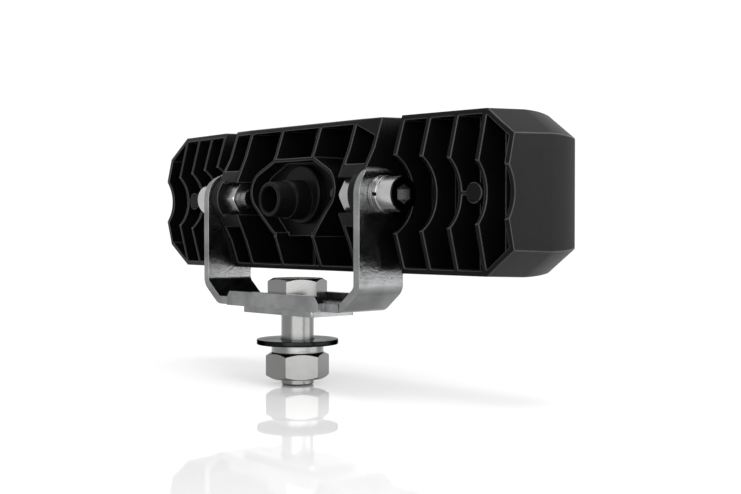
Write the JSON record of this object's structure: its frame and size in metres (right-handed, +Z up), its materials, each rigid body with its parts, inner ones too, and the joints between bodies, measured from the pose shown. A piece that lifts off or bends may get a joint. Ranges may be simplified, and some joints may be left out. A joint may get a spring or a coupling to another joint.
{
  "type": "fog light",
  "caption": "Compact rectangular LED auxiliary fog lamp with a deeply finned die-cast housing, a tilting U bracket and a single-bolt mounting",
  "frame": {"origin": "on the mounting bolt's axis, at the underside of the bracket's doubler plate, the face that rests on the vehicle", "axes": "+Z up along the bolt, +Y to the finned rear, the lens faces -Y, X along the lamp's width and the tilt axis"},
  "size_m": [0.1648, 0.047, 0.0805],
  "materials": {
    "black_powder_coat": "fine-textured satin black powder coat on die-cast aluminium",
    "bezel_black": "satin black",
    "stainless": "bright turned and tumbled stainless steel",
    "zinc_plate": "bright zinc-plated steel sheet, faintly mottled",
    "dark_washer": "glossy black zinc-plated steel",
    "clear_lens": "clear hard-coated polycarbonate",
    "seal_rubber": "matt black silicone rubber",
    "reflector_chrome": "vacuum-metallised",
    "board_white": "white solder mask",
    "board_green": "green solder mask",
    "phosphor": "yellow phosphor silicone, unlit",
    "thermal_grey": "soft grey thermal pad",
    "ferrite": "dark moulded ferrite",
    "capacitor_can": "bright aluminium can",
    "gland_black": "satin black nylon",
    "vent_grey": "grey membrane"
  },
  "bodies": {
    "bracket": {"mounting_bracket": "zinc_plate", "doubler_plate": "zinc_plate", "mounting_bolt": "stainless"},
    "washers": {"mounting_spring_washer": "zinc_plate", "mounting_flat_washer": "dark_washer"},
    "nut": {"mounting_nut": "stainless"},
    "lamp": {"heat_sink_housing": "black_powder_coat", "front_bezel": "bezel_black", "bezel_screws": "stainless", "front_lens": "clear_lens", "lens_gasket": "seal_rubber", "thermal_pad": "thermal_grey", "led_board": "board_white", "board_screws": "stainless", "led_emitters": "phosphor", "reflector_insert": "reflector_chrome", "driver_board": "board_green", "driver_standoffs": "stainless", "driver_inductor": "ferrite", "driver_capacitors": "capacitor_can", "driver_transistors": "ferrite", "gland_body": "gland_black", "gland_seal": "seal_rubber", "gland_grommet": "seal_rubber", "gland_lock_nut": "gland_black", "vent_plug": "vent_grey", "pivot_screw_left": "stainless", "pivot_flat_washer_left": "stainless", "pivot_spring_washer_left": "stainless", "pivot_nut_left": "stainless", "pivot_screw_right": "stainless", "pivot_flat_washer_right": "stainless", "pivot_spring_washer_right": "stainless", "pivot_nut_right": "stainless"}
  },
  "joints": [
    {"name": "lamp_tilt", "type": "hinge", "parent": "bracket", "child": "lamp", "pos_m": [0, 0, 0.0357], "axis": [-1, 0, 0], "range_deg": [-9, 189]},
    {"name": "washer_rise", "type": "slide", "parent": "bracket", "child": "washers", "axis": [0, 0, 1], "range_m": [0, 0.0076]},
    {"name": "nut_turn", "type": "hinge", "parent": "washers", "child": "nut", "pos_m": [0, 0, 0], "axis": [0, 0, 1], "range_deg": [0, 1800]}
  ],
  "couplings": [
    {"joint": "washer_rise", "follows": "nut_turn", "m_per_rad": 0.00023873}
  ]
}
